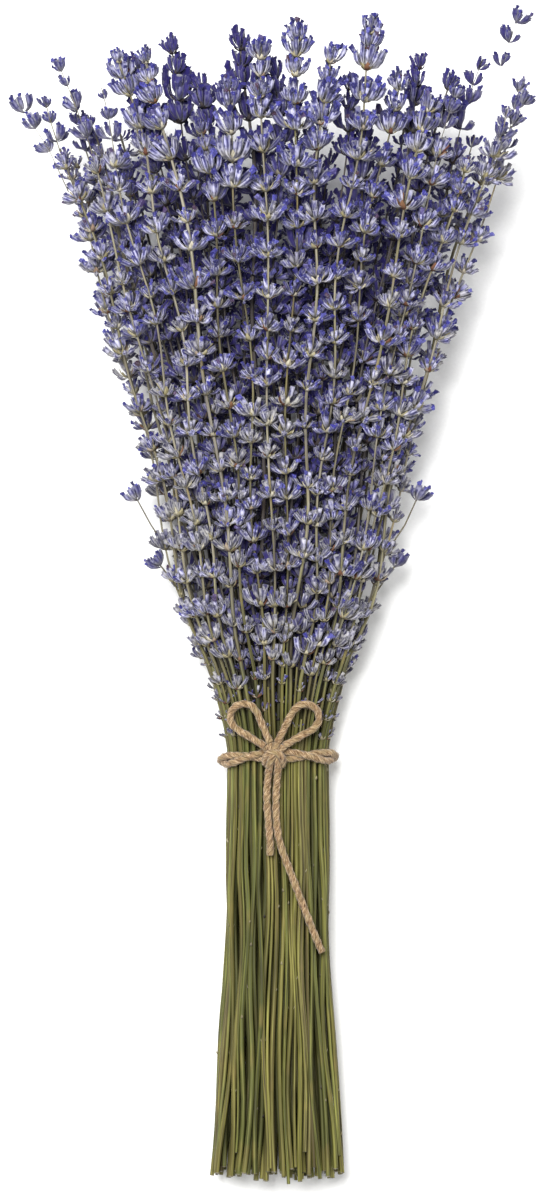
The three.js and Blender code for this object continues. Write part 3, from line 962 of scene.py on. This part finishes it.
def shape_top(sprigs):
    """Moves the tips that draw the top of the fan to where they belong."""
    free = [sprig for sprig in sprigs if sprig.level < 2 and sprig.z > UPPER_HALF]
    for x, end in TOP_TIPS:
        nearest = min(free, key=lambda sprig: abs(np.interp(end, STATION_Y, sprig.knots[:, 0]) - x))
        nearest.end = end
        nearest.fine = nearest.seen = True
        free.remove(nearest)
    for sprig in sprigs:
        sprig.loose = abs(np.interp(sprig.end, STATION_Y, sprig.knots[:, 0])) > LOOSE_BEYOND
        if sprig in free and not sprig.loose:
            sprig.end += TIPS_HIGHER


sprigs = [Sprig(index, *place) for index, place in enumerate(places_at_tie())]
shape_top(sprigs)
print(len(sprigs), "sprigs,", sum(sprig.fine for sprig in sprigs), "of them modelled finely")

# %% [markdown]
# ## Whorls
# A whorl is a crown of eleven to fifteen calyces that leave the stem at one height, or of seven
# plainer ones on a sprig that others hide. They bend out at once and then stand side by side, so
# that a whorl is a small cup with a pale foot and a blue rim, over a ring of bracts. How far it
# opens depends on the room up to the next sprig, because whorls of neighbours press each other
# upright. What lies deep in the bunch carries `inside`, which runs from 0 on the outermost sprigs
# to 1 in the middle: the light hardly gets there, so the finishes paint shade there. Instances on
# points would be quicker to lay out, but each copy needs values of its own for the finishes, and
# a pair of sprigs has to end as one plain mesh.

# %% Copies that become one mesh
BOW_OVER = 1.2  # the length in which a floret bends out from the stem
INSIDE_FROM, INSIDE_OVER = 1.03, 0.25  # in shares of the way from the bunch's middle out
PALE_END = 10  # the length over which a cut stem stays as pale as it is outside


def inside_at(points):
    """How deep in the bunch the points are: 0 on its outermost sprigs and 1 in its middle."""
    # The finishes paint shade by this depth, so the middle of the bunch is painted darker.
    width, depth, lift, _ = section_at(points[:, 1])
    off = np.hypot(points[:, 0] / (width + 1), (points[:, 2] - lift - depth) / (depth + 1))
    from_cut = (points[:, 1] - STATIONS[0].y - CUT_ENDS_SPREAD) / PALE_END
    return np.clip((INSIDE_FROM - off) / INSIDE_OVER, 0, 1) * np.clip(from_cut, 0, 1)


class Heap:
    """Copies of the modelled shapes, gathered for one piece."""

    def __init__(self):
        self.points, self.faces, self.finishes = [], [], []
        self.values = {"tip": [], "rib": [], "tone": [], "inside": [], "own": []}
        self.count = 0

    def add(self, shape, points, finish, tone, tips, own):
        self.points.append(points)
        self.faces += shifted(shape.faces, self.count)
        self.count += len(points)
        self.finishes += [finish] * len(shape.faces)
        tones = np.full(len(points), tone)
        parts = (tips, shape.ribs, tones, inside_at(points), own + 57.0 * tone)
        for gathered, part in zip(self.values.values(), parts):
            gathered.append(part)

    def stand(self, shape, finish, foot, ahead, out, size, wide=1.0, spin=0.0, bow=0.0, tone=0.0):
        """Adds a copy that stands on its foot, points ahead and turns its back outwards."""
        beside = unit(np.cross(out, ahead))
        out = np.cross(ahead, beside)
        x, y, z = shape.points.T
        cos, sin = math.cos(spin), math.sin(spin)
        turned = np.column_stack([cos * x - sin * y, sin * x + cos * y, z])
        scaled = turned * [size * wide, size * wide, size]
        bent = scaled[:, 1:2] + bow * (1 - np.exp(-scaled[:, 2:] / BOW_OVER))
        points = foot + scaled[:, :1] * beside + bent * out + scaled[:, 2:] * ahead
        self.add(shape, points, finish, tone, shape.tips, shape.points)

    def piece(self, name):
        """The piece, smooth all over but for its crumpled petals."""
        points = np.vstack(self.points)
        points[:, 2] = np.maximum(points[:, 2], 0.05)
        values = {label: np.concatenate(parts) for label, parts in self.values.items()}
        made = piece_of(name, points, self.faces, values, FINISHES)
        made.data.polygons.foreach_set("material_index", self.finishes)
        made.data.polygons.foreach_set("use_smooth", [one != OF_PETALS for one in self.finishes])
        return made


# %% How much room a whorl has
HOLD_IN_FLOWER = 4.5  # the room that a sprig holds on each side, in millimetres
HOLD_OF_STEM = 1.6
HOLD_CHANGES_OVER = 14
NEIGHBOURS_WITHIN = 36
FREE_ROOM = 20.0
FLORETS_OVER_TIP = 8  # how far above its tip a sprig still takes up room
ROOM_SHARED = 2.1  # florets of neighbours reach this far in between each other


def room_round(sprig, y, angles):
    """How far florets may reach from the sprig's middle in each direction, in millimetres."""
    here = sprig.at(y)[0]
    room = np.full(len(angles), FREE_ROOM)
    ways = np.column_stack([np.cos(angles), np.sin(angles)])
    for other in sprigs:
        if other is sprig or y > other.end + FLORETS_OVER_TIP:
            continue
        gap = other.at(y)[0] - here
        apart = math.hypot(gap[0], gap[2])
        if apart > NEIGHBOURS_WITHIN or apart < 0.1:
            continue
        grown = limited((y - other.start) / HOLD_CHANGES_OVER + 1)
        share = HOLD_IN_FLOWER / (HOLD_IN_FLOWER + between(HOLD_OF_STEM, HOLD_IN_FLOWER, grown))
        towards = ways @ gap[[0, 2]]
        limit = share * apart * apart / np.maximum(towards, 1e-6)
        room = np.minimum(room, np.where(towards > 0, limit, FREE_ROOM))
    return room * ROOM_SHARED


# %% One whorl
WHORL_REACH = 4.7  # from the stem to the mouths of the outer calyces, with room all round
INNER_REACH = 0.4  # of that, for the calyces in the middle
LEAST_REACH = 0.9
FLORET_LENGTH = 4.3
LONGER_IF_SHUT = 1.4
WHORL_TILT = 0.24  # how far a whorl leans off its stem, at most
LEAN_PRESSED = 0.08  # in radians off the stem, for a floret that has no room
LEANS_WITH_ROOM = (0.74, 0.2)  # in a whorl that is open and in one that is shut
LEANS_VARY = (0.3, 0.16)
WHORL_SHARE, OWN_SHARE = 0.55, 0.45  # of a floret's tone, from its whorl and drawn for itself
BRACTS = 5
random_florets = np.random.default_rng(5)


def directions(ahead):
    """Two directions square to the way ahead: across the bunch and up."""
    right = unit(np.array([1.0, 0, 0]) - ahead * ahead[..., :1])
    return right, np.cross(right, ahead)


def floret(heap, shape, foot, aim, out, length, bow, wide, tone, petals):
    """A calyx and, if it is drawn so, the petals in its mouth."""
    scale = length / CALYX_LENGTH
    heap.stand(shape, OF_CALYX, foot, aim, out, scale, wide=wide, bow=bow, tone=tone)
    if not petals:
        return
    crumpled = PETALS[random_florets.integers(CRUMPLES)]
    side = unit(np.cross(np.cross(aim, out), aim))
    mouth = foot + aim * length * 0.86 + side * bow
    bent = unit(aim + 0.45 * random_florets.uniform(-1, 1, 3))
    bud = scale * random_florets.uniform(0.55, 1.05)
    spin, hue = 6 * random_florets.random(), random_florets.random()
    heap.stand(crumpled, OF_PETALS, mouth, bent, out, bud, spin=spin, tone=hue)


def whorl(heap, sprig, y, size, outer, inner, hue, stout=1.0, shut=0.0, leafy=True):
    """Adds a whorl. hue runs from 0, deep blue with many petals, to 1, grey with none, and below
    0 it makes the florets darker. shut runs from 0, spread like a crown, to 1, closed like a bud,
    and a shut whorl is longer."""
    middle = sprig.at(y)[0]
    ahead = unit(sprig.ahead(y) + WHORL_TILT * random_florets.uniform(-1, 1, 3))
    right, up = directions(ahead)
    draws = random_florets.uniform(-1, 1, (outer + inner, 6))
    turn = 2 * math.pi * draw(sprig.index, DRAWS["turn"] + round(y))
    angles = [turn + 2 * math.pi * (k + 0.6 * draws[k, 0]) / outer for k in range(outer)]
    angles += [turn + 2 * math.pi * (k + 0.4 * draws[outer + k, 0]) / inner for k in range(inner)]
    room = room_round(sprig, y + 5, np.array(angles))
    longer = between(1.0, LONGER_IF_SHUT, shut)
    for k, angle in enumerate(angles):
        _, in_length, in_reach, in_lean, in_height, in_width = draws[k]
        out = way(right, up, angle)
        length = FLORET_LENGTH * size * (1 + 0.24 * in_length) * longer
        wanted = WHORL_REACH * size * (1 + 0.2 * in_reach) * (1.0 if k < outer else INNER_REACH)
        reach = max(LEAST_REACH, min(wanted, room[k] - LEAST_REACH))
        lean = between(LEAN_PRESSED, between(*LEANS_WITH_ROOM, shut), limited(reach / 5))
        lean += between(*LEANS_VARY, shut) * in_lean
        bow = max(0.0, reach - 0.5 - 0.8 * length * math.sin(lean))
        foot = middle + out * 0.4 + ahead * ((0.3 if k < outer else 1.2) + 0.5 * in_height)
        tone = limited(WHORL_SHARE * hue + OWN_SHARE * random_florets.random())
        wide = stout * (1 + 0.12 * in_width)
        shape = CALYX if sprig.fine and k < outer else PLAIN_CALYX
        petals = random_florets.random() > hue + 0.05
        floret(heap, shape, foot, way(ahead, out, lean), out, length, bow, wide, tone, petals)
    if sprig.fine and leafy:
        foliage(heap, middle, ahead, right, up, turn, size)


def foliage(heap, middle, ahead, right, up, turn, size):
    """The bracts under a whorl, and a bare stalk that has lost its floret."""
    for k in range(BRACTS):
        angle = turn + 2 * math.pi * (k + 0.4 * random_florets.uniform(-1, 1)) / BRACTS
        out = way(right, up, angle)
        aim = unit(ahead + out * random_florets.uniform(0.6, 1.2))
        foot = middle + out * 0.5 - ahead * 0.5
        scale, tone = size * random_florets.uniform(0.85, 1.15), 0.95 * random_florets.random()
        heap.stand(BRACT, OF_BRACT, foot, aim, out, scale, tone=tone)
    out = way(right, up, 2 * math.pi * random_florets.random())
    aim = unit(ahead + out * random_florets.uniform(0.4, 1.4))
    scale, tone = size * random_florets.uniform(0.6, 1.1), random_florets.random()
    heap.stand(STALK, OF_BRACT, middle + out * 0.4, aim, out, scale, tone=tone)


# %% Stems
STEM_RADIUS = 1.0  # at the tie, to a corner
STEM_TAPER = ([-160, 0, 30, 60, 200, 262], [1.0, 0.95, 0.72, 0.48, 0.42, 0.28])
STOUTEST = 1.7  # times the usual thickness among the flowers, which few stems reach
STEM_TWIST = 0.01  # in radians for each millimetre
WHOLE_LENGTH = 420
STOUTER_OVER = [10, 60]  # where along the bunch those stems grow stouter
LOOSE_THINS_OVER = [LOOSE_ABOVE - 16, LOOSE_ABOVE]


def stem(heap, sprig, from_y, to_y, radius, shape, tone):
    """Lays a copy of the modelled stem along a sprig's path."""
    y = from_y + (to_y - from_y) * shape.points[:, 2]
    middle = sprig.at(y)
    right, up = directions(unit(sprig.at(y + 1) - sprig.at(y - 1)))
    stouter = between(1.0, STOUTEST, draw(round(1000 * tone), 68) ** 4)
    thick = radius * (np.interp(y, *STEM_TAPER) * np.interp(y, STOUTER_OVER, [1.0, stouter]))
    if sprig.loose:
        thick = thick * np.interp(y, LOOSE_THINS_OVER, [1.0, 0.5])
    turned = STEM_TWIST * y + 7 * tone
    x, z = shape.points[:, 0], shape.points[:, 1]
    across = (x * np.cos(turned) - z * np.sin(turned))[:, None]
    over = (x * np.sin(turned) + z * np.cos(turned))[:, None]
    points = middle + thick[:, None] * (across * right + over * up)
    own = np.column_stack([x * radius, z * radius, y])
    tips = np.clip((y - STATIONS[0].y) / WHOLE_LENGTH, 0, 1)
    tips = np.where(y < from_y + 0.1, 1.0, tips)
    heap.add(shape, points, OF_STEM, tone, tips, own)


def leaf_scars(heap, sprig, y):
    """Two small scales across from each other, where a pair of leaves was stripped off."""
    middle, ahead = sprig.at(y)[0], sprig.ahead(y)
    right, up = directions(ahead)
    turn = math.pi * random_florets.random()
    for half in (0, math.pi):
        out = way(right, up, turn + half)
        aim = unit(ahead + 0.35 * out)
        scale, tone = 0.45 * random_florets.uniform(0.7, 1.2), 0.4 * random_florets.random()
        heap.stand(BRACT, OF_BRACT, middle + out * 0.7, aim, out, scale, tone=tone)


class Filler:
    """A bare stem that lies in the furrow between two sprigs."""

    loose = False

    def __init__(self, first, second):
        self.first, self.second = first, second
        self.raised = between(0.2, 1.0, draw(first.index, 61))

    def at(self, y):
        here = (self.first.at(y) + self.second.at(y)) / 2
        width, depth, lift, _ = section_at(here[:, 1])
        out = np.column_stack([here[:, 0] / width, 0 * width, (here[:, 2] - lift - depth) / depth])
        here = here + unit(out) * self.raised
        here[:, 2] = np.maximum(here[:, 2], 0.8)
        return here


class Twig:
    """A side branch of a sprig, through points of its own."""

    loose = fine = True

    def __init__(self, index, points):
        self.index = index
        self.points = np.array(points, float)

    def at(self, y):
        y = np.atleast_1d(np.asarray(y, float))
        across, height = (np.interp(y, self.points[:, 1], self.points[:, k]) for k in (0, 2))
        return np.column_stack([across, y, height])

    def ahead(self, y):
        return unit(self.at(y + 3.0) - self.at(y - 3.0))[0]


# %% The whorls up a spike
WHORL_STEP = 11.8
STEP_AT_TIP = 5.8
STEP_GROWS = 1.6
LEFT_OUT = 0.07  # of the whorls, which leaves a longer bare stretch of stem
LOWEST_WHORL = 19
STARTS_LOWER = 0.35  # of the way from there to where the solid's whorls begin
TIP_LENGTH = 7
HEAD_LENGTH = 24


def whorl_heights(sprig, lowest):
    """Where whorls stand, from the tip down: close together at first, and never quite even."""
    heights, y, step = [], sprig.end - TIP_LENGTH, STEP_AT_TIP
    while y > lowest:
        heights.append(y)
        y -= step * between(0.75, 1.25, draw(sprig.index, 70 + len(heights)))
        if draw(sprig.index, 100 + len(heights)) < LEFT_OUT and len(heights) > 3:
            y -= step
        step = min(step + STEP_GROWS, WHORL_STEP)
    return heights


# %% Side branches
LOOSE_WHORL = {
    "outer": 5, "inner": 1, "hue": -0.4, "stout": 1.6, "shut": 0.9, "leafy": False,
}
LEFT_SPRIG, RIGHT_SPRIG = 17, 0
TWIGS = {  # for each twig the points of its path, and then where its whorls stand
    LEFT_SPRIG: [
        ([(-75, 203, 43), (-82, 218, 45), (-91, 232, 46)], (217, 225, 231)),
        ([(-40, 75, 22), (-46, 84, 24), (-52, 95, 25)], (93,)),
        ([(-34, 57, 20), (-40, 66, 21), (-44, 71, 22)], (69,)),
    ],
    RIGHT_SPRIG: [
        ([(75, 205, 43), (81, 221, 45), (88, 235, 46)], (219, 227, 234)),
        ([(79, 246, 45), (86, 266, 46)], (248, 256, 263)),
        ([(40, 75, 22), (46, 84, 24), (51, 95, 25)], (93,)),
        ([(34, 57, 20), (40, 66, 21), (44, 71, 22)], (69,)),
    ],
}


def grow_twig(heap, twig, heights):
    """Adds a side branch and its few whorls."""
    low, high = twig.points[0, 1], twig.points[-1, 1]
    stem(heap, twig, low, high - 1, STEM_RADIUS * 0.55, THIN_STEM, 0.0)
    for y in heights:
        size = random_florets.uniform(0.75, 0.95)
        whorl(heap, twig, y, size * 0.8, **LOOSE_WHORL)


# %% Grow one sprig
SEEN_REACH = 240  # how far down from its tip a sprig flowers where it can be seen
HIDDEN_MORE = 40  # further down than in the solids, where it can't
BLUE_FROM, BLUE_OVER = 40, 140  # along the bunch, where the whorls go from grey to blue
HUES = (1.05, 0.28)  # near the tie and high in the fan
SIZES_VARY = (0.72, 1.2)
LOWEST_SIZE = 0.7  # of the whorls nearest the tie, as a share of the full size
GROWS_OVER = 70  # the length along the bunch in which a size would grow from nothing to full
SHUT_LOW = 0.55  # how far the whorls near the tie are shut
SHUT_BELOW, SHUT_OVER = 110, 60
EDGE_FROM, EDGE_OVER = 0.75, 0.15  # across the bunch, where its edge begins
EDGE_SMALLER = 0.8  # the size of whorls at the edge near the tie, where the bunch is narrow
EDGE_BELOW, EDGE_GROWS_OVER = 90, 30
SMALL_BEYOND = 0.86  # across the bunch, where the sprigs flower down to the tie
SMALL_FROM = 7
SMALL_STEP = 6.5


def grow_whorl(heap, sprig, y, edge):
    """Adds one whorl of a spike: smaller and greyer towards the tie, shut and bluer at the tip."""
    up_fan = limited((y - BLUE_FROM) / BLUE_OVER)
    from_tip = (sprig.end - y) / HEAD_LENGTH
    crowded = sprig.seen and not sprig.loose
    in_head = limited(1.5 - from_tip / 1.5) if crowded else 0.0
    size = between(0.9, 1.04, up_fan) * between(0.5, 1.04, limited(from_tip))
    size *= random_florets.uniform(*SIZES_VARY)
    at_edge = between(1.0, EDGE_SMALLER, edge * limited((EDGE_BELOW - y) / EDGE_GROWS_OVER))
    size *= limited(LOWEST_SIZE + (y - LOWEST_WHORL) / GROWS_OVER) * at_edge
    shut = max(in_head, SHUT_LOW * limited((SHUT_BELOW - y) / SHUT_OVER))
    hue = between(*HUES, up_fan) - 0.45 * in_head + 0.5 * random_florets.uniform(-1, 1)
    if sprig.loose and y > LOOSE_ABOVE:
        whorl(heap, sprig, y, size * 0.72, **LOOSE_WHORL)
    elif sprig.fine:
        outer, inner = round(between(8, 10, up_fan)), round(between(3, 5, up_fan))
        whorl(heap, sprig, y, size, outer, inner, limited(hue), shut=shut)
    else:
        whorl(heap, sprig, y, size, 6, 1, limited(hue), shut=shut)


def grow_small(heap, sprig, top):
    """Adds the small whorls near the tie, more of them at the sides of the bunch."""
    if sprig.level == 0 and abs(sprig.across) > SMALL_BEYOND:
        for y in np.arange(SMALL_FROM, top, SMALL_STEP):
            whorl(heap, sprig, y + random_florets.uniform(-1, 1), 0.55, 4, 1, 0.95)
    elif sprig.fine:
        for y in np.arange(random_florets.uniform(10, 32), top, SMALL_STEP):
            size = random_florets.uniform(0.4, 0.65)
            whorl(heap, sprig, y, size, 3, 1, 0.5 + 0.5 * random_florets.random())


def grow(heap, sprig):
    """Adds one sprig with all its whorls."""
    shape = STEM if sprig.fine else THIN_STEM
    radius = STEM_RADIUS * between(0.8, 1.1, draw(sprig.index, 60))
    stem(heap, sprig, sprig.cut, sprig.end - 3, radius, shape, sprig.tone)
    start = between(LOWEST_WHORL, sprig.start, STARTS_LOWER)
    reach = SEEN_REACH if sprig.seen else RINGS[sprig.level]["reach"] + HIDDEN_MORE
    outermost = limited((abs(sprig.across) - EDGE_FROM) / EDGE_OVER)
    edge = outermost if sprig.level == 0 else 0.0
    for y in whorl_heights(sprig, max(start, sprig.end - reach)):
        grow_whorl(heap, sprig, y, edge)
    grow_small(heap, sprig, start - 4)
    for k, (points, heights) in enumerate(TWIGS.get(sprig.index, [])):
        grow_twig(heap, Twig(sprig.index + k, points), heights)
    if sprig.fine:
        for k in range(3):
            leaf_scars(heap, sprig, between(-140, 60, (k + random_florets.random()) / 3))


# %% Grow the pairs of sprigs
OUTER_COUNT = RINGS[0]["count"]
FURROWS_FILLED = 0.7


def fill_furrow(heap, first, second):
    cut = STATIONS[0].y + between(-3, 12, draw(first.index, 62))
    top = between(8, 60, draw(first.index, 63))
    thick = between(0.45, 0.75, draw(first.index, 64))
    stem(heap, Filler(first, second), cut, top, thick, THIN_STEM, draw(first.index, 65))


pieces = []
for pair in range(len(sprigs) // 2):
    heap = Heap()
    for sprig in sprigs[2 * pair:2 * pair + 2]:
        grow(heap, sprig)
        if sprig.index < OUTER_COUNT and draw(sprig.index, 66) < FURROWS_FILLED:
            fill_furrow(heap, sprig, sprigs[(sprig.index + 1) % OUTER_COUNT])
    piece = heap.piece(f"lavender_sprigs_{pair + 1:02d}")
    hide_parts(f"sprigs_{pair + 1:02d}")
    pieces.append(piece)
triangles = [sum(len(face.vertices) - 2 for face in piece.data.polygons) for piece in pieces]
print(len(pieces), "pieces,", sum(triangles), "triangles, the largest", max(triangles))
